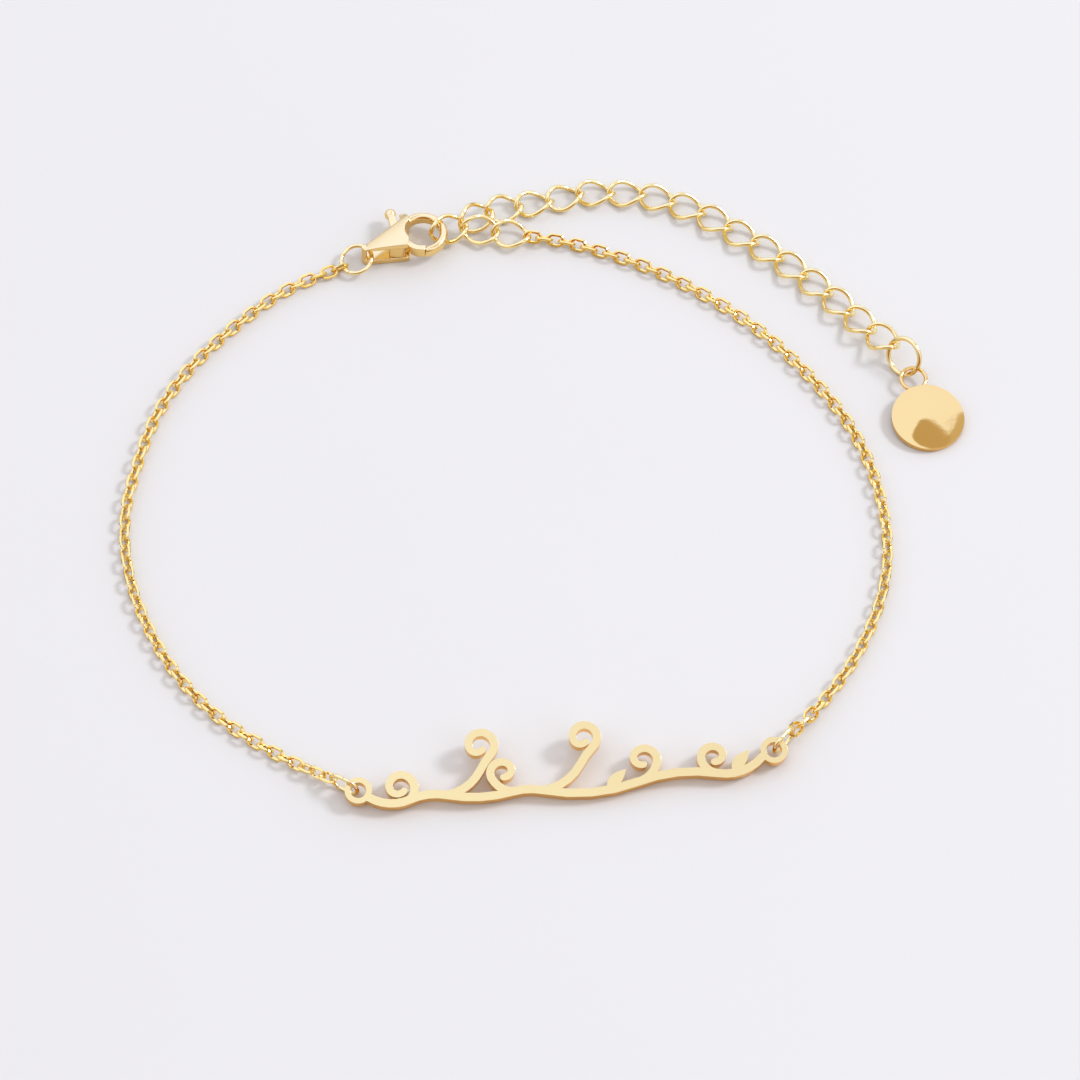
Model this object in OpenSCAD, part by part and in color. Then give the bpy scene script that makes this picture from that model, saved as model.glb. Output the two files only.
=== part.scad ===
// Bracelet: an openwork scroll plate on a fine cable chain, closed by a trigger
// clasp, with an extender of twisted links that ends in a round tag.
// It lies on a flat surface at z = 0, in millimetres.

/* [Nameplate] */
// Distance between the centres of the two end eyes
eye_span = 32.8; // [30:0.2:36]
// Outer diameter of an end eye
eye_d = 2.15; // [2:0.05:2.4]
// Hole through an end eye
eye_hole = 1.25; // [1.2:0.05:1.35]
// Width of the cut stroke
stroke_w = 0.68; // [0.55:0.01:0.8]
// Thickness of the sheet
plate_t = 0.9; // [0.7:0.05:1]
// Radius of the scrolls
curl_r = 1; // [0.9:0.01:1.1]
// Depth of the stem below the line between the eyes
stem_drop = 1.8; // [1.6:0.05:2]
// Length of a leaf
leaf_l = 2.2; // [1.8:0.1:2.6]
// Width of a leaf
leaf_w = 0.95; // [0.7:0.05:1.2]
// Angle at which the plate leans back
plate_lean = 14; // [12:1:16]

/* [Fine chain] */
// Length of a link over its wire
link_len = 1.57; // [1.5:0.01:1.8]
// Width of a link over its wire
link_w = 1.1; // [1:0.01:1.3]
// Thickness of the link wire
link_wire = 0.24; // [0.2:0.01:0.26]
// Roll of the links about the chain, to one side and the other in turn
link_roll = 45; // [40:1:50]

/* [Plate rings] */
// Length of the oval ring that joins the chain to the plate
oval_len = 2.7; // [2.5:0.05:3]
// Width of the oval ring
oval_w = 1.95; // [1.9:0.01:2.1]
// Thickness of its wire
oval_wire = 0.28; // [0.24:0.01:0.3]

/* [Extender] */
// Length of an extender link over its wire
ext_len = 3.47; // [3.2:0.01:3.7]
// Width of an extender link over its wire
ext_w = 2.6; // [2.5:0.05:2.8]
// Thickness of its wire
ext_wire = 0.34; // [0.28:0.01:0.36]
// Twist from the middle of a link to each end
ext_twist = 45; // [40:1:50]

/* [Clasp] */
// Inner diameter of the hook
hook_open = 2.84; // [2.7:0.02:3]
// Width of the hook's band
hook_band = 0.68; // [0.6:0.02:0.75]
// Height of the hook's band
hook_h = 1.05; // [0.95:0.05:1.15]
// Height of the clasp body
clasp_h = 2.4; // [2.2:0.05:2.6]
// Thickness of each cheek
cheek_t = 0.55; // [0.45:0.05:0.6]
// Distance from the middle of the hook to the middle of the tail
tail_reach = 4.9; // [4.8:0.1:5.4]
// Diameter of the tail
tail_d = 1.1; // [1:0.05:1.3]
// Diameter of the post that closes the tail
post_d = 0.45; // [0.4:0.05:0.5]
// Radius of the crown on the body's upper face
crown_r = 4.5; // [4:0.1:8]
// Diameter of the rivet
rivet_d = 0.6; // [0.5:0.05:0.7]
// Diameter of the trigger's knob
knob_d = 1; // [0.9:0.05:1.1]
// Outer diameter of the ring in the tail
tail_ring_d = 2.95; // [2.8:0.05:3.2]
// Thickness of its wire
tail_ring_wire = 0.32; // [0.28:0.01:0.36]

/* [Tag] */
// Diameter of the disc
tag_d = 6; // [5.5:0.1:6.5]
// Thickness of the disc at its rim
tag_rim = 0.55; // [0.45:0.05:0.7]
// Rise of the disc's domed face above the rim
tag_dome = 0.2; // [0.1:0.05:0.3]
// Outer diameter of the wire eye on the disc
tag_eye_d = 2.4; // [2.2:0.05:2.6]
// Thickness of the eye's wire
tag_eye_wire = 0.34; // [0.28:0.01:0.38]
// Outer diameter of the ring that carries the disc
tag_ring_d = 3.45; // [3.3:0.05:3.7]
// Thickness of its wire
tag_ring_wire = 0.38; // [0.32:0.01:0.42]

/* [Fit] */
// Clearance between wires that hook over each other
gap = 0.12; // [0.1:0.01:0.13]
// Clearance round the rivet in the lever
pin_gap = 0.05; // [0.03:0.01:0.08]
// Clearance round the rivet in the cheeks
rivet_gap = 0.03; // [0.02:0.01:0.04]
// Clearance between the lever and the body
lever_gap = 0.04; // [0.03:0.01:0.06]

/* [Hidden] */
$fn = 48;
gold = "#e9c878";
deep_gold = "#d9ae5c";
pale_gold = "#f6e2ac";

// Places and headings of the rigid pieces on the surface
hook_at = [-10.2, 24.35];
hook_turn = 16.3;
plate_at = [1.73, -27.5];
plate_turn = 6.4;

// Routes of the fine chain, from the clasp to the plate on each side
left_route = [[-21.5, 19.25], [-25.75, 15.5], [-29.5, 11], [-32, 6.25], [-33.5, 0.5],
    [-34, -3.25], [-33.75, -7.25], [-32.5, -12], [-29.75, -17.5], [-26, -22], [-21.25, -25.5]];
right_route = [[2.25, 24], [7.75, 22], [13, 19], [17.75, 15.25], [21.75, 10.75], [25, 5.75],
    [27, 0.25], [27.75, -5.75], [27, -11.25], [24.75, -16.75], [21.75, -21.25]];

// The extender's way along the surface: the heading and the roll of each link
ext_yaw = [19, 33, 18, 9, 19, 0, -3, -19, -24, -36, -35, -38, -43, -43, -50, -51, -46];
ext_roll = [33, 32, 18, -3, 0, 0, 0, 0, 0, 0, 0, 0, 0, 0, 2, 5, 9];
// Height of its first and last joints, as shares of the way up to the hook and to the tag's ring
ext_from_hook = [1, 0.97, 0.43, -0.02, 0.06];
ext_to_tag = [0, 0.03, 0.15, 0.48, 1];
// The two links that lead back to the fine chain
back_yaw = [-5, -6];
back_rise = [-7, -5];
back_roll = [36, 13];
// Places of the second and of the first way on the end of the link in the hook
fork = [0.25, -0.32];
// Height of the lowest links above the surface
lie = 0.01;
link_stations = 14;
wire_sides = 6;

// Half the distance between the middles of two wires that hook over each other
function reach(a, b) = (gap + (a + b) / 2) / 2;
function last(v) = v[len(v) - 1];
function unit(v) = v / norm(v);
function flat(v) = [v.x, v.y, 0];
function lift(v, z) = [v.x, v.y, z];
function yaw_of(v) = atan2(v.y, v.x);
function rise_of(v) = atan2(v.z, norm(flat(v)));
function ahead(yaw, rise = 0) = [cos(rise) * cos(yaw), cos(rise) * sin(yaw), sin(rise)];
function turned(v, a) = [v.x * cos(a) - v.y * sin(a), v.x * sin(a) + v.y * cos(a), v.z];
function clasp_point(x, y, z) = lift(hook_at, 0) + turned([x, y, z], hook_turn);

module place(at, yaw, rise = 0, roll = 0) {
    translate(at) rotate([0, -rise, yaw]) rotate([roll, 0, 0]) children();
}

// Plate: eyes, stem and tendrils in the plane of the sheet, x along the line between the eyes
half_span = eye_span / 2;
knot_shares = [[-0.95, -0.38], [-0.76, -0.64], [-0.58, -0.6], [-0.27, -0.73], [-0.12, -0.8],
    [0.33, -0.84], [0.72, -0.8], [0.94, -0.25]];
knots = [for (k = knot_shares) [k.x * half_span, k.y * stem_drop]];
stem_head = -36;
bend_step = 12;
span_max = 6;
tip_share = 0.8;
// A tendril: its knot, its first heading, and its arcs as a share of the scroll radius and a sweep
tendrils = [
    [1, 38, [[1.2, 100], [0.95, 120], [0.66, 150]]],
    [2, 6, [[3.7, 52], [-8, -12], [1.05, 150], [0.92, 90], [0.6, 120]]],
    [3, 168, [[-2.1, -55], [-0.9, -150], [-0.6, -150]]],
    [4, 4, [[4, 52], [-8, -14], [1, 150], [0.9, 90], [0.58, 120]]],
    [5, 8, [[2.1, 62], [0.98, 150], [0.62, 150]]],
    [6, 170, [[-1.5, -62], [-0.92, -150], [-0.6, -150]]],
];
// A leaf: its knot, its root from there as shares of its length, and its heading
leaves = [[5, -1.1, -0.12, 40], [6, 0.5, 0.06, 44]];

function arc_end(at, head, r, sweep) =
    at + r * [sin(head + sweep) - sin(head), cos(head) - cos(head + sweep)];
// Arcs through the knots that leave each one as they came to it
function stem_arcs(head = stem_head, i = 0) = i > len(knots) - 2 ? [] :
    let (way = knots[i + 1] - knots[i], half = yaw_of(way) - head)
    concat([[knots[i], head, norm(way) / (2 * sin(half)), 2 * half]],
        stem_arcs(head + 2 * half, i + 1));
function tendril_arcs(at, head, moves, i = 0) = i > len(moves) - 1 ? [] :
    let (r = moves[i][0] * curl_r, sweep = moves[i][1])
    concat([[at, head, r, sweep]],
        tendril_arcs(arc_end(at, head, r, sweep), head + sweep, moves, i + 1));
// Points along the arcs, each with its heading
function stations(arcs) = [
    for (a = arcs)
        let (n = ceil(abs(a[3]) / bend_step + norm(arc_end(a[0], a[1], a[2], a[3]) - a[0]) / span_max))
        for (k = [0:n - 1]) [arc_end(a[0], a[1], a[2], a[3] * k / n), a[1] + a[3] * k / n],
    let (a = last(arcs)) [arc_end(a[0], a[1], a[2], a[3]), a[1] + a[3]]];

// A stroke along the arcs that narrows to its tip, with a round end at each
module stroke(arcs, tip) {
    p = stations(arcs);
    n = len(p) - 1;
    function half(k) = stroke_w / 2 * (1 - (1 - tip) * k / n);
    left = [for (k = [0:n]) p[k][0] + half(k) * [-sin(p[k][1]), cos(p[k][1])]];
    right = [for (k = [n:-1:0]) p[k][0] - half(k) * [-sin(p[k][1]), cos(p[k][1])]];
    tip_end = [
        for (a = [75:-15:-75]) p[n][0] + half(n) * [cos(p[n][1] + a), sin(p[n][1] + a)]];
    root_end = [
        for (a = [-105:-15:-255]) p[0][0] + half(0) * [cos(p[0][1] + a), sin(p[0][1] + a)]];
    polygon(concat(left, tip_end, right, root_end));
}

module leaf(at, head) {
    n = 12;
    edge = [for (k = [0:n]) let (t = k / n) [leaf_l * t, leaf_w / 2 * sin(180 * t ^ 0.8)]];
    translate(at) rotate(head)
        polygon(concat(edge, [for (k = [n - 1:-1:1]) [edge[k].x, -edge[k].y]]));
}

// The lowest stroke touches the surface
plate_low = stroke_w / 2 - min([for (p = stations(stem_arcs())) p[0].y]);
plate_z = plate_low * sin(plate_lean) + plate_t / 2 * cos(plate_lean);

module nameplate() {
    color(pale_gold) place(lift(plate_at, plate_z), plate_turn, 0, plate_lean)
        translate([0, 0, -plate_t / 2]) difference() {
            union() {
                for (side = [-1, 1])
                    translate([side * half_span, 0]) cylinder(h = plate_t, d = eye_d);
                linear_extrude(plate_t) {
                    stroke(stem_arcs(), 1);
                    for (t = tendrils) stroke(tendril_arcs(knots[t[0]], t[1], t[2]), tip_share);
                    for (l = leaves) leaf(knots[l[0]] + [l[1] * leaf_l, l[2] * leaf_l], l[3]);
                }
            }
            for (side = [-1, 1])
                translate([side * half_span, 0, -1]) cylinder(h = plate_t + 2, d = eye_hole);
        }
}

// Plate rings: each stands upright along its chain, and slopes from the eye's rim to the surface
eye_seat = 0.55;
ring_gap = 1.4 * gap;
oval_reach = oval_len - oval_wire;
oval_z = oval_w / 2;
eye_rim = (eye_d + eye_hole) / 4;

function eye_at(side) = lift(plate_at, plate_z) + turned([side * half_span, 0, 0], plate_turn);
function eye_way(side) = unit(flat((side < 0 ? last(left_route) : last(right_route)) - eye_at(side)));
function rim_z(side) = plate_z + eye_rim * eye_way(side).y * sin(plate_lean);
function oval_in(side) = lift(eye_at(side) + (eye_hole / 2 - eye_seat) * eye_way(side), rim_z(side));
function oval_fall(side) = asin((rim_z(side) - oval_z) / oval_reach);
function oval_out(side) = oval_in(side)
    + oval_reach * ahead(yaw_of(eye_way(side)), -oval_fall(side));

module oval(len, w, wire) {
    r = (w - wire) / 2;
    run = len - w;
    for (side = [-1, 1]) {
        translate([side * run / 2, 0]) rotate(side < 0 ? 90 : -90)
            rotate_extrude(angle = 180) translate([r, 0]) circle(d = wire, $fn = 24);
        translate([-run / 2, side * r, 0]) rotate([0, 90, 0]) cylinder(h = run, d = wire, $fn = 24);
    }
}

module plate_ring(side) {
    color(pale_gold) place((oval_in(side) + oval_out(side)) / 2, yaw_of(eye_way(side)), -oval_fall(side), 90)
        oval(oval_len, oval_w, oval_wire);
}

// Fine chain: equal links along a smooth line through the route's points
link_pitch = link_len - 2 * link_wire - gap;
chain_z = (link_w - link_wire) / 2 * sin(link_roll) + link_wire / 2 + lie;
span_steps = 8;
sag_len = 7;
turn_links = 4;
ring_turn = 30;

function knot_curve(a, b, c, d, t) =
    (2 * b + (c - a) * t + (2 * a - 5 * b + 4 * c - d) * t ^ 2 + (3 * b - a - 3 * c + d) * t ^ 3) / 2;
function smooth(p) = [
    for (i = [0:len(p) - 2], s = [0:span_steps - 1])
        knot_curve(p[max(i - 1, 0)], p[i], p[i + 1], p[min(i + 2, len(p) - 1)], s / span_steps),
    last(p)];
function lengths(p) = [
    for (i = 0, s = 0; i < len(p); s = s + (i + 1 < len(p) ? norm(p[i + 1] - p[i]) : 0), i = i + 1) s];
function at_length(p, s, t) = [
    for (axis = [0, 1]) lookup(t, [for (i = [0:len(p) - 1]) [s[i], p[i][axis]]])];
// Joints of the chain from one end to the other, sinking to the surface near each end
function joints(from, route, to) =
    let (
        p = smooth(concat([[from.x, from.y]], route, [[to.x, to.y]])),
        s = lengths(p),
        whole = last(s),
        n = round(whole / link_pitch))
    [for (k = [0:n])
        let (
            t = whole * k / n,
            up = (from.z - chain_z) * max(0, 1 - t / sag_len) ^ 2,
            down = (to.z - chain_z) * max(0, 1 - (whole - t) / sag_len) ^ 2)
        lift(at_length(p, s, t), chain_z + up + down)];

// The links roll to one side and the other in turn, and turn further to meet the rings at the ends
module fine_chain(from, route, to, first, turn_from, turn_to) {
    j = joints(from, route, to);
    end = len(j) - 2;
    for (k = [0:end]) {
        side = k % 2 == 0 ? first : -first;
        extra = first * turn_from * max(0, 1 - k / turn_links)
            + (end % 2 == 0 ? first : -first) * turn_to * max(0, 1 - (end - k) / turn_links);
        place((j[k] + j[k + 1]) / 2, yaw_of(j[k + 1] - j[k]), rise_of(j[k + 1] - j[k]),
            side * link_roll + extra)
            oval(link_len, link_w, link_wire);
    }
}

// Clasp ring: lies in the slot of the clasp's tail, and slopes down to the chain
tail_ring_r = (tail_ring_d - tail_ring_wire) / 2;
tail_c = [-tail_reach, -0.35];
tail_r = tail_d / 2;
post_inset = [0.03, 0.08];
post_c = tail_c - [tail_r - post_d / 2 - post_inset.x, post_inset.y];
tail_ring_slope = 14;
tail_ring_turn = 10;
wire_in_tail = clasp_point(post_c.x + (post_d + tail_ring_wire) / 2 + gap, post_c.y, clasp_h / 2);
tail_ring_way = -ahead(hook_turn + tail_ring_turn, tail_ring_slope);
tail_ring_at = wire_in_tail + tail_ring_r * tail_ring_way;
left_way = unit(flat(left_route[0]) - flat(tail_ring_at));
left_wire = tail_ring_at + tail_ring_r * unit(lift(left_way,
    left_way * flat(tail_ring_way) * tan(-tail_ring_slope)));

module clasp_ring() {
    color(pale_gold) place(tail_ring_at, hook_turn + tail_ring_turn, tail_ring_slope)
        rotate_extrude() translate([tail_ring_r, 0]) circle(d = tail_ring_wire, $fn = 24);
}

module left_chain() {
    color(gold) fine_chain(left_wire - (gap + tail_ring_wire) / 2 * left_way, left_route,
        oval_out(-1) - (ring_gap + oval_wire) / 2 * eye_way(-1), 1, ring_turn, -ring_turn);
}

// Clasp: two cheeks round a slot, the hook, and a post that closes the tail
hook_r = hook_open / 2 + hook_band / 2;
clasp_mid = clasp_h / 2;
shoulder_c = [-1.45, 1.75];
crown_turn = 26;
shoulder_r = 0.7;
corner_c = [-1.75, -1.2];
corner_r = 0.25;
spine_x = -1.4;
spine_y = 0.75;
throat = 0.06;
hook_from = -108;
hook_to = 125;

// Outline of a belt round circles that are listed clockwise, each a centre and a radius
function belt_angle(a, b) = yaw_of(b[0] - a[0]) + acos((a[1] - b[1]) / norm(b[0] - a[0]));
function belt(c) = [
    for (i = [0:len(c) - 1])
        let (
            before = c[(i + len(c) - 1) % len(c)],
            after = c[(i + 1) % len(c)],
            from = belt_angle(before, c[i]),
            turn = from - belt_angle(c[i], after),
            bend = turn - 360 * floor(turn / 360),
            n = ceil(bend / bend_step))
        for (k = [0:n]) c[i][0] + c[i][1] * [cos(from - bend * k / n), sin(from - bend * k / n)]];

module cheek_outline() {
    polygon(belt([[tail_c, tail_r], [shoulder_c, shoulder_r], [corner_c, corner_r]]));
}

// The crown runs along the body in line with the hook's middle, so the face falls away to the back
module crown() {
    translate([0, 0, clasp_h - crown_r]) rotate([0, 90, crown_turn])
        cylinder(r = crown_r, h = 14, center = true, $fn = 128);
}

// The slot runs through the tail and the middle, and stops at the spine in the shoulder
module slot_cut() {
    translate([0, 0, cheek_t]) linear_extrude(clasp_h - 2 * cheek_t)
        polygon([[-8, -6], [0, -6], [0, spine_y], [spine_x, spine_y], [spine_x, 6], [-8, 6]]);
}

pivot = [-2.2, -0.85];
rivet_top = clasp_h - cheek_t / 2;

module clasp_body() {
    color(pale_gold) translate(lift(hook_at, 0)) rotate(hook_turn) {
        difference() {
            intersection() {
                linear_extrude(clasp_h) cheek_outline();
                crown();
            }
            translate([0, 0, -1]) cylinder(h = clasp_h + 2, r = hook_open / 2 + throat, $fn = 96);
            slot_cut();
            translate([pivot.x, pivot.y, -1])
                cylinder(h = rivet_top + gap + 1, d = rivet_d + 2 * rivet_gap);
        }
        translate(lift(post_c, cheek_t / 2)) cylinder(h = clasp_h - cheek_t, d = post_d);
        difference() {
            rotate(hook_from) translate([0, 0, clasp_mid])
                rotate_extrude(angle = hook_to - hook_from, $fn = 128) translate([hook_r, 0]) {
                    square([hook_band, hook_h - hook_band], center = true);
                    for (side = [-1, 1])
                        translate([0, side * (hook_h - hook_band) / 2]) circle(d = hook_band);
                }
            translate([pivot.x, pivot.y, 0])
                cylinder(h = clasp_h, r = gate_reach + lever_gap, $fn = 128);
        }
    }
}

// Trigger: a gate that meets the hook's tip on a circle about the rivet, a heel that closes the
// side of the slot, an arm, and a neck with a knob
lever_h = clasp_h - 2 * cheek_t - 2 * lever_gap;
boss_wall = 0.2;
boss_r = rivet_d / 2 + boss_wall;
arm_r = 0.3;
knob_c = [-2.05, 2.8];
arm_end = knob_c + 0.7 * unit(pivot - knob_c);
neck_h = 0.7;
heel_c = [-2.9, -0.8];
heel_r = 0.3;
gate_reach = 2.18;
gate_t = 0.5;
gate_out = hook_open / 2 + gate_t;
gate_to = -160;

module gate_outline() {
    intersection() {
        difference() {
            circle(r = gate_out, $fn = 96);
            circle(d = hook_open, $fn = 96);
        }
        polygon([[0, 0], 4 * [cos(gate_to), sin(gate_to)], [-2, -4], [2, -4]]);
        translate(pivot) circle(r = gate_reach, $fn = 128);
    }
}

module clasp_lever() {
    color(gold) translate(lift(hook_at, 0)) rotate(hook_turn) difference() {
        union() {
            translate([0, 0, clasp_mid - hook_h / 2]) linear_extrude(hook_h) gate_outline();
            for (end = [[arm_end, arm_r], [heel_c, heel_r]])
                translate([0, 0, clasp_mid - lever_h / 2]) linear_extrude(lever_h)
                    polygon(belt([[pivot, boss_r], end]));
            translate([0, 0, clasp_mid - neck_h / 2]) linear_extrude(neck_h)
                polygon(belt([[arm_end, arm_r], [knob_c, arm_r]]));
            translate(lift(knob_c, clasp_mid)) sphere(d = knob_d);
        }
        translate([pivot.x, pivot.y, 0]) cylinder(h = clasp_h, d = rivet_d + 2 * pin_gap);
    }
}

module clasp_pin() {
    color(deep_gold) translate(clasp_point(pivot.x, pivot.y, 0)) cylinder(h = rivet_top, d = rivet_d);
}

// Extender: half axes of a link's middle line, and the step from joint to joint
ext_a = (ext_len - ext_wire) / 2;
ext_b = (ext_w - ext_wire) / 2;
ext_step = 2 * (ext_a - reach(ext_wire, ext_wire));
ext_z = ext_wire / 2 - min([for (t = [0:5:355]) twisted(t).z]) + lie;
run = len(ext_yaw);
// Play of the first link in the hook, and its place across the hook and above its middle
hook_slack = 0.57;
first_at = [-0.09, 0.03];
ext_start = clasp_point(hook_open / 2 - hook_slack + gap / 2, first_at.x, clasp_mid + first_at.y);

// Tag ring: leans on the last link, and its lowest point touches the surface
tag_ring_r = (tag_ring_d - tag_ring_wire) / 2;
tag_ring_yaw = 44;
tag_ring_rise = 59.4;
link_side = 84;
eye_side = 239;
tag_ring_z = tag_ring_r * sin(tag_ring_rise) + tag_ring_wire / 2;
link_in = tag_ring_r - reach(ext_wire, tag_ring_wire);
eye_in = tag_ring_r - reach(tag_eye_wire, tag_ring_wire);
function on_tag_ring(a) = cos(a) * ahead(tag_ring_yaw, tag_ring_rise) + sin(a) * ahead(tag_ring_yaw + 90);

function joint_z(k) =
    k < len(ext_from_hook) ? ext_z + ext_from_hook[k] * (ext_start.z - ext_z)
    : k > run - len(ext_to_tag) ?
        ext_z + ext_to_tag[k - run + len(ext_to_tag) - 1]
            * (tag_ring_z + link_in * on_tag_ring(link_side).z - ext_z)
    : ext_z;
// Two links hang on the end of the first one, each a little to its side
function forked(p, rise, side) =
    let (d = ahead(ext_yaw[0], rise), across = ahead(ext_yaw[0] + 90), a = ext_roll[0] - ext_twist)
    p + side * (cos(a) * across + sin(a) * cross(d, across)) - side ^ 2 * ext_a / (2 * ext_b ^ 2) * d;
// Start and rise of each link of the extender
function ext_way(p, k = 0, before = 0) = k >= run ? [] :
    let (
        s = k == 1 ? forked(p, before, fork[0]) : p,
        rise = asin((joint_z(k + 1) - s.z) / ext_step))
    concat([[s, rise]], ext_way(s + ext_step * ahead(ext_yaw[k], rise), k + 1, rise));
ways = ext_way(ext_start);
first_end = ext_start + ext_step * ahead(ext_yaw[0], ways[0][1]);
back_start = forked(first_end, ways[0][1], fork[1]);
back_mid = back_start + ext_step * ahead(back_yaw[0], back_rise[0]);
back_end = back_mid + ext_step * ahead(back_yaw[1], back_rise[1]);

// Points round the middle line of a link, and a six-sided wire about it
function twisted(t) = let (x = ext_a * cos(t), a = -ext_twist * x / ext_a)
    [x, ext_b * sin(t) * cos(a), ext_b * sin(t) * sin(a)];
module twisted_link() {
    step = 360 / link_stations;
    points = [
        for (k = [0:link_stations - 1])
            let (
                p = twisted(k * step),
                along = unit(twisted((k + 0.5) * step) - twisted((k - 0.5) * step)),
                out = unit(p - (p * along) * along),
                up = cross(along, out))
            for (s = [0:wire_sides - 1])
                p + ext_wire / 2 * (cos(s * 360 / wire_sides) * out + sin(s * 360 / wire_sides) * up)];
    faces = [
        for (k = [0:link_stations - 1], s = [0:wire_sides - 1])
            let (
                a = k * wire_sides,
                b = (k + 1) % link_stations * wire_sides,
                t = (s + 1) % wire_sides)
            for (f = [[a + s, b + s, b + t], [a + s, b + t, a + t]]) f];
    polyhedron(points, faces);
}

module extender_link(k) {
    color(k % 2 == 0 ? gold : deep_gold)
        if (k < run)
            place(ways[k][0] + ext_step / 2 * ahead(ext_yaw[k], ways[k][1]),
                ext_yaw[k], ways[k][1], ext_roll[k])
                twisted_link();
        else
            place(k == run ? (back_start + back_mid) / 2 : (back_mid + back_end) / 2,
                back_yaw[k - run], back_rise[k - run], back_roll[k - run])
                twisted_link();
}

right_way = unit(flat(right_route[0]) - flat(back_end));

module right_chain() {
    color(gold) fine_chain(back_end + (gap + ext_wire) / 2 * (ahead(back_yaw[1], back_rise[1]) - right_way),
        right_route, oval_out(1) - (ring_gap + oval_wire) / 2 * eye_way(1), 1, 0, -ring_turn);
}

// Tag: the ring on the last link, and the disc with its eye
tag_way = ahead(last(ext_yaw), last(ways)[1]);
link_joint = last(ways)[0] + (ext_step / 2 + ext_a - reach(ext_wire, tag_ring_wire)) * tag_way;
tag_ring_at = lift(link_joint - link_in * on_tag_ring(link_side), tag_ring_z);
eye_joint = tag_ring_at + eye_in * on_tag_ring(eye_side);
tag_eye_r = (tag_eye_d - tag_eye_wire) / 2;
eye_sunk = 0.35;
disc_to_eye = tag_d / 2 + tag_eye_d / 2 - eye_sunk;
joint_to_eye = tag_eye_r - reach(tag_eye_wire, tag_ring_wire);
tag_head = 106;
tag_lean = asin((eye_joint.z - tag_rim / 2) / (joint_to_eye + disc_to_eye + tag_d / 2));
disc_at = eye_joint - (joint_to_eye + disc_to_eye) * ahead(tag_head, tag_lean);
dome_r = (tag_d ^ 2 / 4 + tag_dome ^ 2) / (2 * tag_dome);

module tag_ring() {
    color(gold) place(tag_ring_at, tag_ring_yaw, tag_ring_rise)
        rotate_extrude() translate([tag_ring_r, 0]) circle(d = tag_ring_wire, $fn = 24);
}

module tag_disc() {
    color(pale_gold) place(disc_at, tag_head, tag_lean) {
        intersection() {
            translate([0, 0, -tag_rim / 2]) cylinder(h = tag_rim + tag_dome, d = tag_d, $fn = 128);
            translate([0, 0, tag_rim / 2 + tag_dome - dome_r]) sphere(r = dome_r, $fn = 256);
        }
        translate([disc_to_eye, 0]) rotate_extrude()
            translate([tag_eye_r, 0]) circle(d = tag_eye_wire, $fn = 24);
    }
}

function two(n) = str(n < 10 ? "0" : "", n);
ext_names = [for (k = [1:run + len(back_yaw)]) str("extender_link_", two(k))];

nameplate();
plate_ring(-1);  // left_plate_ring
plate_ring(1);  // right_plate_ring
left_chain();
right_chain();
clasp_ring();
clasp_body();
clasp_lever();
clasp_pin();
for (k = [0:len(ext_names) - 1])
    extender_link(k);
tag_ring();
tag_disc();
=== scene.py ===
import math

import bmesh
import bpy
import numpy as np
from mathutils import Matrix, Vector


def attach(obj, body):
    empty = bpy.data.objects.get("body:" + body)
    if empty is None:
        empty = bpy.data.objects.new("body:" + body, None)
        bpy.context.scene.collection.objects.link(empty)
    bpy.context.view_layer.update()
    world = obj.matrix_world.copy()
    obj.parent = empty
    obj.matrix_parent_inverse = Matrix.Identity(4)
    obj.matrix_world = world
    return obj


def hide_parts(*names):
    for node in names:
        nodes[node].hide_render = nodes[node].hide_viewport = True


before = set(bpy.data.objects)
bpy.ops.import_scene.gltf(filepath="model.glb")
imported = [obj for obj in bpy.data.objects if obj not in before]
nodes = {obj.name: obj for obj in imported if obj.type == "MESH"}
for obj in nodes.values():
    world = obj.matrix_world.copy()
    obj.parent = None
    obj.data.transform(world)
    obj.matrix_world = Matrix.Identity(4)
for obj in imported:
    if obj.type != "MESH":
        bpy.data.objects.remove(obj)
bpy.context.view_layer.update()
mm = 0.001


def hexColour(text):
    # sRGB hex to the linear colour that the shaders want
    parts = [int(text[i:i + 2], 16) / 255 for i in (1, 3, 5)]
    return tuple(p / 12.92 if p <= 0.04045 else ((p + 0.055) / 1.055) ** 2.4 for p in parts) + (1.0,)


def addNode(tree, kind, settings=None, links=None):
    # settings: node properties, or input values by name or number; links: input to output socket
    n = tree.nodes.new(kind)
    for key, value in (settings or {}).items():
        if isinstance(key, int) or key in n.inputs:
            n.inputs[key].default_value = value
        else:
            setattr(n, key, value)
    for key, source in (links or {}).items():
        tree.links.new(source, n.inputs[key])
    return n


def newMaterial(name):
    m = bpy.data.materials.new(name)
    m.use_nodes = True
    m.node_tree.nodes.clear()
    return m, m.node_tree


goldNoise = {"cloudDetail": 3.0, "cloudSpan": (0.3, 0.7), "buffDetail": 4.0, "buffRelief": 1 / 30}


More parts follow.
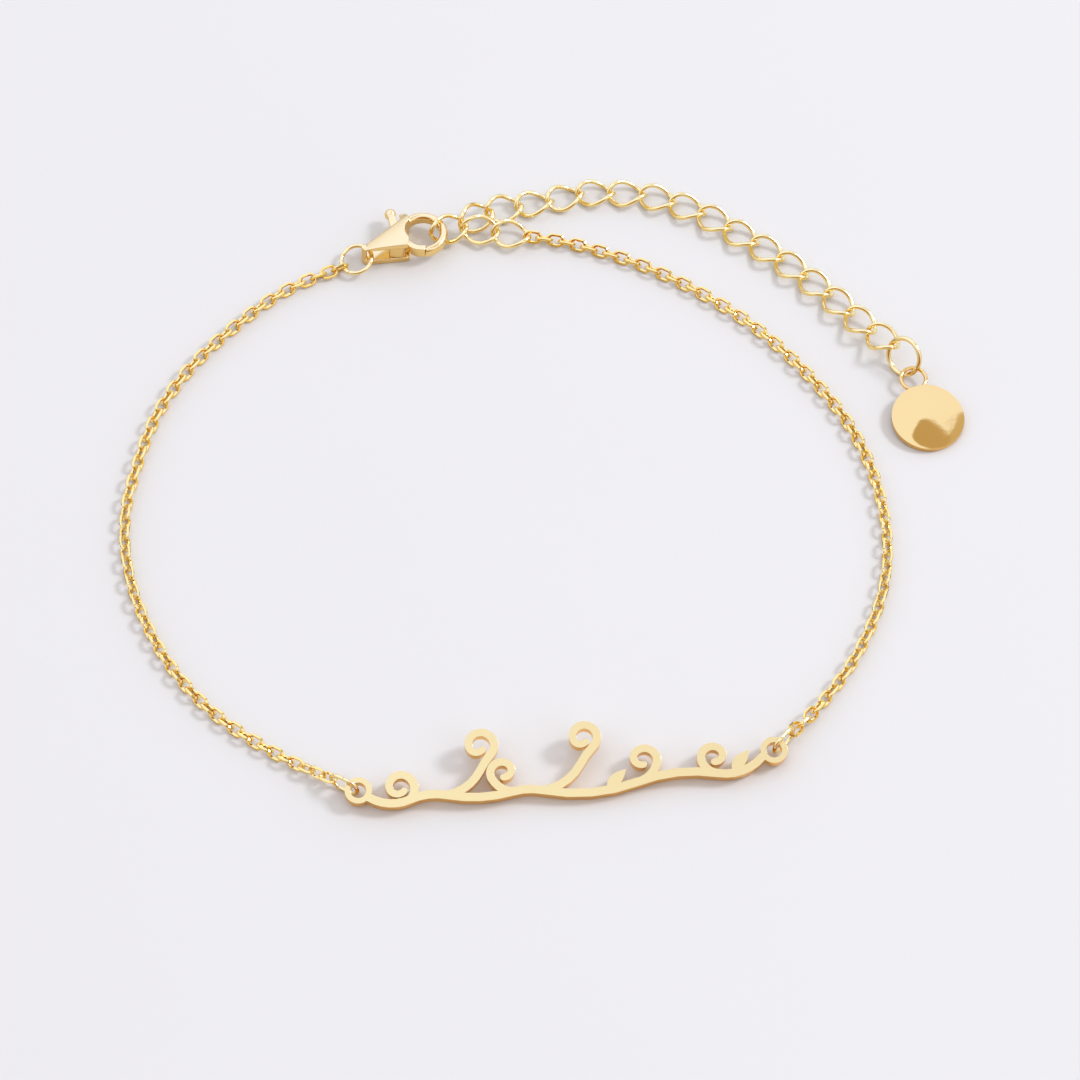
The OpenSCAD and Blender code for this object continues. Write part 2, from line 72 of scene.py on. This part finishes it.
def platedGold(name, look):
    # Gold plate over brass. Faces that lie up are painted paler, a painted sheen for the bright light they
    # catch, while cut and rolled sides keep the deeper yellow; a faint cloud moves the colour and polish,
    # and fine marks soften reflections.
    m, tree = newMaterial(name)
    place = addNode(tree, "ShaderNodeTexCoord")
    cloud = addNode(tree, "ShaderNodeTexNoise",
                    {"Scale": 1 / (look["cloudMm"] * mm), "Detail": goldNoise["cloudDetail"]},
                    {"Vector": place.outputs["Object"]})
    stretch = addNode(tree, "ShaderNodeMapping", {"Scale": look["buffStretch"]},
                      {"Vector": place.outputs["Object"]})
    buff = addNode(tree, "ShaderNodeTexNoise",
                   {"Scale": 1 / (look["buffMm"] * mm), "Detail": goldNoise["buffDetail"]},
                   {"Vector": stretch.outputs["Vector"]})
    lie = addNode(tree, "ShaderNodeSeparateXYZ", links={0: place.outputs["Normal"]})
    # Painted sheen: the more a face points up, the more of the pale face colour it takes
    up = addNode(tree, "ShaderNodeMapRange",
                 {"From Min": look["paintedSheenFrom"][0], "From Max": look["paintedSheenFrom"][1]}, {"Value": lie.outputs["Z"]})
    sides = addNode(tree, "ShaderNodeMix", {"data_type": "RGBA", 6: hexColour(look["deep"]),
                                            7: hexColour(look["side"])},
                    {0: cloud.outputs["Fac"]})
    tint = addNode(tree, "ShaderNodeMix", {"data_type": "RGBA", 7: hexColour(look["face"])},
                   {0: up.outputs["Result"], 6: sides.outputs[2]})
    polish = addNode(tree, "ShaderNodeMapRange",
                     {"From Min": goldNoise["cloudSpan"][0], "From Max": goldNoise["cloudSpan"][1],
                      "To Min": look["polish"][0], "To Max": look["polish"][1]},
                     {"Value": cloud.outputs["Fac"]})
    marks = addNode(tree, "ShaderNodeBump",
                    {"Strength": look["buffDepth"],
                     "Distance": look["buffMm"] * goldNoise["buffRelief"] * mm},
                    {"Height": buff.outputs["Fac"]})
    gold = addNode(tree, "ShaderNodeBsdfPrincipled", {"Metallic": 1.0},
                   {"Base Color": tint.outputs[2], "Roughness": polish.outputs["Result"],
                    "Normal": marks.outputs["Normal"]})
    addNode(tree, "ShaderNodeOutputMaterial", links={"Surface": gold.outputs[0]})
    return m


def finishWith(piece, material, smoothAngle=None):
    piece.data.materials.clear()
    piece.data.materials.append(material)
    piece.data.shade_smooth()
    if smoothAngle is not None:
        piece.data.set_sharp_from_angle(angle=math.radians(smoothAngle))


def asPiece(name, mesh, body, replaced):
    piece = bpy.data.objects.new(name, mesh)
    bpy.context.scene.collection.objects.link(piece)
    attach(piece, body)
    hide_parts(*replaced)
    return piece


def islands(mesh):
    # Vertex arrays of the loose parts of a mesh, in the order in which they come
    first = {}
    owner = [first.setdefault(tuple(round(c / mm, 3) for c in v.co), v.index) for v in mesh.vertices]

    def root(i):
        while owner[i] != i:
            owner[i] = owner[owner[i]]
            i = owner[i]
        return i

    for e in mesh.edges:
        a, b = root(e.vertices[0]), root(e.vertices[1])
        if a != b:
            owner[max(a, b)] = min(a, b)
    groups = {}
    for index in first.values():
        groups.setdefault(root(index), []).append(mesh.vertices[index].co)
    return [np.array(groups[k], float) for k in sorted(groups)]


def axesOf(points):
    # Middle of a loop and its long, wide and flat directions, right-handed
    mid = points.mean(0)
    vectors = np.linalg.eigh(np.cov((points - mid).T))[1]
    long, wide = vectors[:, 2], vectors[:, 1]
    flat = np.cross(long, wide)
    turned = (points - mid) @ np.stack([long, wide, flat], 1)
    shift = (turned.min(0) + turned.max(0)) / 2
    return mid + np.stack([long, wide, flat], 1) @ shift, np.stack([long, wide, flat], 1)


def sweptLoop(path, section, closed=True):
    # A section (out, up) carried round a path of (point, out, up); returns points and quads
    n, s = len(path), len(section)
    points = [p + a * out + b * up for p, out, up in path for a, b in section]
    faces = []
    for k in range(n if closed else n - 1):
        for j in range(s):
            a, b = k * s, (k + 1) % n * s
            faces.append((a + j, a + (j + 1) % s, b + (j + 1) % s, b + j))
    if not closed:
        faces.append(tuple(range(s - 1, -1, -1)))
        faces.append(tuple((n - 1) * s + j for j in range(s)))
    return points, faces


def joinedMesh(name, parts):
    verts, faces = [], []
    for points, quads in parts:
        start = len(verts)
        verts.extend(tuple(p) for p in points)
        faces.extend(tuple(start + i for i in q) for q in quads)
    mesh = bpy.data.meshes.new(name)
    mesh.from_pydata(verts, [], faces)
    mesh.update()
    b = bmesh.new()
    b.from_mesh(mesh)
    bmesh.ops.recalc_face_normals(b, faces=b.faces)
    b.to_mesh(mesh)
    b.free()
    return mesh


weldMm = 0.0005


def worked(name, node, steps):
    # A copy of a node's mesh, worked in millimetres by a list of (modifier, settings)
    mesh = node.data.copy()
    mesh.transform(((1 / mm, 0, 0, 0), (0, 1 / mm, 0, 0), (0, 0, 1 / mm, 0), (0, 0, 0, 1)))
    bench = bpy.data.objects.new(name, mesh)
    bpy.context.scene.collection.objects.link(bench)
    b = bmesh.new()
    b.from_mesh(mesh)
    bmesh.ops.remove_doubles(b, verts=b.verts, dist=weldMm)
    b.to_mesh(mesh)
    b.free()
    for kind, settings in steps:
        mod = bench.modifiers.new(kind.lower(), kind)
        for key, value in settings.items():
            setattr(mod, key, value)
    ready = bench.evaluated_get(bpy.context.evaluated_depsgraph_get())
    made = bpy.data.meshes.new_from_object(ready)
    bpy.data.objects.remove(bench)
    made.transform(((mm, 0, 0, 0), (0, mm, 0, 0), (0, 0, mm, 0), (0, 0, 0, 1)))
    return made


# Scroll plate: brass sheet cut to shape and gold plated. Its fine-brushed face is even and satin, its paler
# colour a painted sheen, and its cut edges are smooth and keep a deeper yellow, made brighter as painted
# light where they mirror the shaded table.
plateLook = {
    "edge": 0.03, "edgeSteps": 2, "edgeFrom": 40, "merge": 0.2, "smooth": 22, "flatFrom": 0.97,
    # face: painted sheen on the upward face; deep and side: cut edges, brightened as painted light
    "gold": {"deep": "#FABE50", "side": "#FECA62", "face": "#F6E6B8", "paintedSheenFrom": (0.6, 0.96), "cloudMm": 6.0,
             "polish": (0.2, 0.28),
             "buffMm": 0.4, "buffStretch": (1.0, 3.0, 1.0), "buffDepth": 0.012},
}
plateMesh = worked("scrollPlate", nodes["nameplate"], [
    ("DECIMATE", {"decimate_type": "DISSOLVE", "angle_limit": math.radians(plateLook["merge"])}),
    ("BEVEL", {"width": plateLook["edge"], "segments": plateLook["edgeSteps"],
               "limit_method": "ANGLE", "angle_limit": math.radians(plateLook["edgeFrom"])}),
])
# The face is rolled flat, so its corners all take the sheet's own normal
sheetNormal = max(plateMesh.polygons, key=lambda p: p.area * p.normal.z).normal.copy()
plateMesh.shade_smooth()
plateMesh.set_sharp_from_angle(angle=math.radians(plateLook["smooth"]))
cornerNormals = [tuple(sheetNormal) if p.normal.dot(sheetNormal) > plateLook["flatFrom"] else (0, 0, 0)
                 for p in plateMesh.polygons for _ in p.loop_indices]
plateMesh.normals_split_custom_set(cornerNormals)
asPiece("scrollPlate", plateMesh, "bracelet", ["nameplate"])
plateMesh.materials.clear()
plateMesh.materials.append(platedGold("satinGoldPlate", plateLook["gold"]))
print("scroll plate", len(plateMesh.polygons), flush=True)


# Jump rings: drawn round wire bent to a loop, its two ends butted. Drawn and plated wire is bright, with one
# long highlight on its crown that is partly reflection and partly painted, as the upper side of the wire
# takes a paler colour.
ringLook = {
    "rings": {  # node, length, width, wire, and where the seam lies
        "leftPlateRing": ("left_plate_ring", 2.74, 1.99, 0.32, 0.0),
        "rightPlateRing": ("right_plate_ring", 2.74, 1.99, 0.32, 0.0),
        "claspJumpRing": ("clasp_ring", 2.98, 2.98, 0.35, 2.2),
        "tagJumpRing": ("tag_ring", 3.48, 3.48, 0.41, 1.0),
    },
    "sides": 16, "stations": 96, "seam": 0.03, "smooth": 50,
    # face: painted highlight on the upper side of the wire
    "gold": {"deep": "#F4CC70", "side": "#FBE094", "face": "#FDF2CC", "paintedSheenFrom": (0.3, 0.95), "cloudMm": 3.0,
             "polish": (0.08, 0.16),
             "buffMm": 0.2, "buffStretch": (1.0, 1.0, 1.0), "buffDepth": 0.03},
}
ringGold = platedGold("brightRingGold", ringLook["gold"])


def ringOutline(length, width, wire, count):
    # Middle line of a round or oval ring, from just past its seam to just before it
    r = (width - wire) / 2
    run = length - width
    whole = 2 * math.pi * r + 2 * run
    points = []
    for k in range(count + 1):
        s = (ringLook["seam"] / 2 + k / count * (whole - ringLook["seam"])) % whole
        if s < run / 2:
            p, out = (s, r), (0, 1)
        elif s < run / 2 + math.pi * r:
            a = math.pi / 2 - (s - run / 2) / r
            p, out = (run / 2 + r * math.cos(a), r * math.sin(a)), (math.cos(a), math.sin(a))
        elif s < run * 1.5 + math.pi * r:
            p, out = (run / 2 - (s - run / 2 - math.pi * r), -r), (0, -1)
        elif s < run * 1.5 + 2 * math.pi * r:
            a = -math.pi / 2 - (s - run * 1.5 - math.pi * r) / r
            p, out = (-run / 2 + r * math.cos(a), r * math.sin(a)), (math.cos(a), math.sin(a))
        else:
            p, out = (s - whole, r), (0, 1)
        points.append((p, out))
    return points


def jumpRing(name, node, length, width, wire, seamTurn):
    mid, axes = axesOf(np.array([v.co for v in nodes[node].data.vertices], float))
    turn = np.array([[math.cos(seamTurn), -math.sin(seamTurn), 0],
                     [math.sin(seamTurn), math.cos(seamTurn), 0], [0, 0, 1]])
    axes = axes @ turn
    path = [(mid + mm * (axes[:, 0] * p[0] + axes[:, 1] * p[1]),
             axes[:, 0] * out[0] + axes[:, 1] * out[1], axes[:, 2])
            for p, out in ringOutline(length, width, wire, ringLook["stations"])]
    section = [(wire / 2 * mm * math.cos(2 * math.pi * k / ringLook["sides"]),
                wire / 2 * mm * math.sin(2 * math.pi * k / ringLook["sides"]))
               for k in range(ringLook["sides"])]
    piece = asPiece(name, joinedMesh(name, [sweptLoop(path, section, closed=False)]),
                    "bracelet", [node])
    finishWith(piece, ringGold, ringLook["smooth"])


for name, (node, length, width, wire, seamTurn) in ringLook["rings"].items():
    jumpRing(name, node, length, width, wire, seamTurn)
print("jump rings", flush=True)


# Cable chain: soldered oval links, cut flat along four sides of the finished chain. The flats are like small
# mirrors, so the links flash white beside deep yellow; the white is partly reflection and partly a painted
# highlight, as upper sides take a paler colour.
chainLook = {
    "length": 1.61, "width": 1.14, "wire": 0.28, "stations": 36, "cut": 0.114, "cutHalf": 32,
    "smooth": 28,
    # face: painted highlight on the upper sides of the links
    "gold": {"deep": "#F4C24C", "side": "#FBD468", "face": "#FDEDB0", "paintedSheenFrom": (0.3, 0.95), "cloudMm": 2.0,
             "polish": (0.04, 0.08),
             "buffMm": 0.15, "buffStretch": (1.0, 1.0, 1.0), "buffDepth": 0.02},
}
chainGold = platedGold("diamondCutChainGold", chainLook["gold"])


def cutSection(wire, cut, half):
    # A round wire with four flats on its diagonals
    points = []
    for q in range(4):
        for a in (-half, half):
            reach = min(cut / math.cos(math.radians(half)), wire / 2)
            angle = math.radians(45 + 90 * q + a)
            points.append((reach * mm * math.cos(angle), reach * mm * math.sin(angle)))
    return points


def chainPiece(name, node):
    section = cutSection(chainLook["wire"], chainLook["cut"], chainLook["cutHalf"])
    outline = ringOutline(chainLook["length"], chainLook["width"], chainLook["wire"],
                          chainLook["stations"])[:-1]
    parts = []
    for points in islands(nodes[node].data):
        mid, axes = axesOf(points)
        path = [(mid + mm * (axes[:, 0] * p[0] + axes[:, 1] * p[1]),
                 axes[:, 0] * out[0] + axes[:, 1] * out[1], axes[:, 2]) for p, out in outline]
        parts.append(sweptLoop(path, section))
    piece = asPiece(name, joinedMesh(name, parts), "bracelet", [node])
    finishWith(piece, chainGold, chainLook["smooth"])
    print(name, len(parts), "links", flush=True)


chainPiece("leftCableChain", "left_chain")
chainPiece("rightCableChain", "right_chain")


# Extender: soldered links of heavier round wire, each twisted so that they lie flat. The wire is
# tumbled bright, a little softer than the rings.
extenderLook = {
    "length": 3.5, "width": 2.63, "wire": 0.37, "twist": 45, "count": 19, "stations": 72, "sides": 14,
    "glance": 0.02,  # part of a turn either side of a station, for the wire's direction there
    # face: painted highlight on the upper side of the wire
    "gold": {"deep": "#F7D070", "side": "#FDE598", "face": "#FFF5CC", "paintedSheenFrom": (0.3, 0.95), "cloudMm": 3.0,
             "polish": (0.1, 0.18),
             "buffMm": 0.2, "buffStretch": (1.0, 1.0, 1.0), "buffDepth": 0.03},
}
extenderGold = platedGold("extenderGold", extenderLook["gold"])


def twistedPath(mid, axes):
    a = (extenderLook["length"] - extenderLook["wire"]) / 2
    b = (extenderLook["width"] - extenderLook["wire"]) / 2
    n = extenderLook["stations"]

    def at(t):
        x = a * math.cos(t)
        turn = -math.radians(extenderLook["twist"]) * x / a
        return np.array([x, b * math.sin(t) * math.cos(turn), b * math.sin(t) * math.sin(turn)])

    path = []
    for k in range(n):
        t = 2 * math.pi * k / n
        p = at(t)
        along = at(t + extenderLook["glance"]) - at(t - extenderLook["glance"])
        along /= np.linalg.norm(along)
        out = p - p.dot(along) * along
        out /= np.linalg.norm(out)
        up = np.cross(along, out)
        path.append((mid + mm * axes @ p, axes @ out, axes @ up))
    return path


wireRound = [(extenderLook["wire"] / 2 * mm * math.cos(2 * math.pi * k / extenderLook["sides"]),
              extenderLook["wire"] / 2 * mm * math.sin(2 * math.pi * k / extenderLook["sides"]))
             for k in range(extenderLook["sides"])]
for k in range(1, extenderLook["count"] + 1):
    node = f"extender_link_{k:02d}"
    mid, axes = axesOf(np.array([v.co for v in nodes[node].data.vertices], float))
    mesh = joinedMesh(f"extenderLink{k:02d}", [sweptLoop(twistedPath(mid, axes), wireRound)])
    link = asPiece(f"extenderLink{k:02d}", mesh, "bracelet", [node])
    finishWith(link, extenderGold)
print("extender links", flush=True)


# Clasp: brass cast in one piece, tumbled and gold plated. Every edge is soft, and its broad faces are smooth
# with blurred reflections and painted pale, a painted sheen on the faces that lie up.
claspLook = {
    "voxel": 0.04, "soften": 12, "ease": 0.5, "pinSmooth": 40,
    # face: painted sheen on the faces that lie up
    "gold": {"deep": "#F0C674", "side": "#F8DC98", "face": "#FAECCC", "paintedSheenFrom": (0.45, 0.97), "cloudMm": 3.0,
             "polish": (0.14, 0.24),
             "buffMm": 0.3, "buffStretch": (1.0, 1.0, 1.0), "buffDepth": 0.015},
}
claspGold = platedGold("castClaspGold", claspLook["gold"])
castSteps = [
    ("REMESH", {"mode": "VOXEL", "voxel_size": claspLook["voxel"]}),
    ("SMOOTH", {"factor": claspLook["ease"], "iterations": claspLook["soften"]}),
]
for name, node, body in (("claspCasting", "clasp_body", "bracelet"),
                         ("claspTrigger", "clasp_lever", "lever")):
    mesh = worked(name, nodes[node], castSteps)
    cast = asPiece(name, mesh, body, [node])
    finishWith(cast, claspGold)
    print(name, len(mesh.polygons), flush=True)
finishWith(nodes["clasp_pin"], claspGold, claspLook["pinSmooth"])


# Tag: stamped disc with a soft rim and a soldered wire eye, gold plated. It is polished like a
# mirror but not quite flat, so reflections swim on it.
tagLook = {
    "edge": 0.12, "edgeSteps": 4, "edgeFrom": 50, "smooth": 35,
    "across": 6.0, "bend": 0.09, "bendTo": (0.93, -0.36), "bendFrom": -0.16, "bendSoft": 0.06,
    # face: painted sheen on the upward face of the disc
    "gold": {"deep": "#F0BC66", "side": "#F5CA7C", "face": "#F3D9A5", "paintedSheenFrom": (0.4, 0.95), "cloudMm": 4.0,
             "polish": (0.05, 0.09),
             "buffMm": 1.6, "buffStretch": (1.0, 1.3, 1.0), "buffDepth": 0.15},
}
tagMesh = worked("tagDisc", nodes["tag_disc"], [
    ("BEVEL", {"width": tagLook["edge"], "segments": tagLook["edgeSteps"],
               "limit_method": "ANGLE", "angle_limit": math.radians(tagLook["edgeFrom"])}),
])
# The disc was pressed a little askew: its lower right side falls away from the flat of the face
tagSpots = np.array([v.co for v in tagMesh.vertices], float)
discSpots = tagSpots[tagSpots[:, 1] < tagSpots[:, 1].min() + tagLook["across"] * mm]
discLow, discHigh = discSpots.min(0), discSpots.max(0)
discMid = (discLow + discHigh) / 2
discRadius = tagLook["across"] / 2 * mm
for v, spot in zip(tagMesh.vertices, tagSpots):
    away = ((spot - discMid)[:2] / discRadius) @ np.array(tagLook["bendTo"])
    past = (away - tagLook["bendFrom"]) / tagLook["bendSoft"]
    fall = tagLook["bendSoft"] * math.log1p(math.exp(past))
    rise = min(1.0, max(0.0, (spot[2] - discLow[2]) / (discHigh[2] - discLow[2])))
    v.co.z -= tagLook["bend"] * discRadius * fall * rise
tagDisc = asPiece("tagDisc", tagMesh, "bracelet", ["tag_disc"])
finishWith(tagDisc, platedGold("stampedTagGold", tagLook["gold"]), tagLook["smooth"])
print("tag", len(tagMesh.polygons), flush=True)


# Table, light and camera
studio = {
    "table": ("#DEE1EA", "#DFE2EB"), "tableSize": 1.2, "tableDrop": 0.02, "tableRough": 0.9, "grainMm": 20,
    "sky": 1.04, "levels": ((0.0, 0.05), (0.07, 0.3), (0.15, 0.95), (0.6, 1.02), (1.0, 1.05)),
    "warm": "#FFF2E2", "cool": "#FFFFFF", "coolFrom": 0.4,
    "gaps": (((-0.1, -0.95, 0.3), (0.66, 0.9), "#A47A4A"), ((0.60, 0.16, 0.78), (0.938, 0.946), "#D4BE92"),
             ((0.2, 0.2, 0.96), (0.984, 0.989), "#C8AE7C")),
    "key": 6.4, "keyAt": (0.90, 0.27, 0.87), "keySize": 0.3,
    "view": "Standard", "contrast": "None", "exposure": 0.0,
}


def tableMaterial():
    # Matt white board: even, with a trace of grain that is too fine to see
    m, tree = newMaterial("mattWhiteTable")
    place = addNode(tree, "ShaderNodeTexCoord")
    grain = addNode(tree, "ShaderNodeTexNoise", {"Scale": 1 / (studio["grainMm"] * mm)},
                    {"Vector": place.outputs["Object"]})
    tint = addNode(tree, "ShaderNodeMix",
                   {"data_type": "RGBA", 6: hexColour(studio["table"][0]),
                    7: hexColour(studio["table"][1])}, {0: grain.outputs["Fac"]})
    board = addNode(tree, "ShaderNodeBsdfPrincipled", {"Roughness": studio["tableRough"]},
                    {"Base Color": tint.outputs[2]})
    addNode(tree, "ShaderNodeOutputMaterial", links={"Surface": board.outputs[0]})
    return m


half = studio["tableSize"] / 2
tableMesh = bpy.data.meshes.new("table")
tableCorners = [(-half, -half, 0), (half, -half, 0), (half, half, 0), (-half, half, 0)]
tableMesh.from_pydata(tableCorners, [], [(0, 1, 2, 3)])
table = bpy.data.objects.new("table", tableMesh)
table.location = (0, 0, -studio["tableDrop"] * mm)
bpy.context.scene.collection.objects.link(table)
table.data.materials.append(tableMaterial())

world = bpy.data.worlds.new("softStudio")
bpy.context.scene.world = world
world.use_nodes = True
skyTree = world.node_tree
skyTree.nodes.clear()
skyPlace = addNode(skyTree, "ShaderNodeTexCoord")
skySplit = addNode(skyTree, "ShaderNodeSeparateXYZ", links={0: skyPlace.outputs["Generated"]})
skyRamp = addNode(skyTree, "ShaderNodeValToRGB", links={"Fac": skySplit.outputs["Z"]})
for k, (height, level) in enumerate(studio["levels"]):
    stops = skyRamp.color_ramp.elements
    stop = stops[k] if k < 2 else stops.new(height)
    stop.position = height
    cooled = min(1, height / studio["coolFrom"])
    warmth = [w + (c - w) * cooled
              for w, c in zip(hexColour(studio["warm"]), hexColour(studio["cool"]))]
    stop.color = tuple(level * w for w in warmth[:3]) + (1,)
# Dimmer stretches between the soft boxes: one low in front, and two that the tag mirrors
skyColour = skyRamp.outputs["Color"]
for direction, edge, tint in studio["gaps"]:
    facing = addNode(skyTree, "ShaderNodeVectorMath",
                     {"operation": "DOT_PRODUCT", 1: Vector(direction).normalized()},
                     {0: skyPlace.outputs["Generated"]})
    shade = addNode(skyTree, "ShaderNodeMapRange", {"From Min": edge[0], "From Max": edge[1]},
                    {"Value": facing.outputs["Value"]})
    skyColour = addNode(skyTree, "ShaderNodeMix", {"data_type": "RGBA", 7: hexColour(tint)},
                        {0: shade.outputs["Result"], 6: skyColour}).outputs[2]
skyLight = addNode(skyTree, "ShaderNodeBackground", {"Strength": studio["sky"]}, {"Color": skyColour})
addNode(skyTree, "ShaderNodeOutputWorld", links={"Surface": skyLight.outputs[0]})

keyData = bpy.data.lights.new("keyBox", "AREA")
keyData.energy = studio["key"]
keyData.size = studio["keySize"]
key = bpy.data.objects.new("keyBox", keyData)
key.location = studio["keyAt"]
key.rotation_euler = (-Vector(studio["keyAt"])).to_track_quat("-Z", "Y").to_euler()
bpy.context.scene.collection.objects.link(key)

cameraLook = {"at": (-0.35, -223.5, 341.2), "aim": (-0.35, -5.3, 0.0), "lens": 166.67,
              "sensor": 36, "nearest": 10}
cameraData = bpy.data.cameras.new("camera")
cameraData.lens = cameraLook["lens"]
cameraData.sensor_width = cameraLook["sensor"]
cameraData.clip_start = cameraLook["nearest"] * mm
camera = bpy.data.objects.new("camera", cameraData)
camera.location = Vector(cameraLook["at"]) * mm
sight = Vector(cameraLook["aim"]) - Vector(cameraLook["at"])
camera.rotation_euler = sight.to_track_quat("-Z", "Y").to_euler()
bpy.context.scene.collection.objects.link(camera)
bpy.context.scene.camera = camera
bpy.context.scene.view_settings.view_transform = studio["view"]
bpy.context.scene.view_settings.look = studio["contrast"]
bpy.context.scene.view_settings.exposure = studio["exposure"]
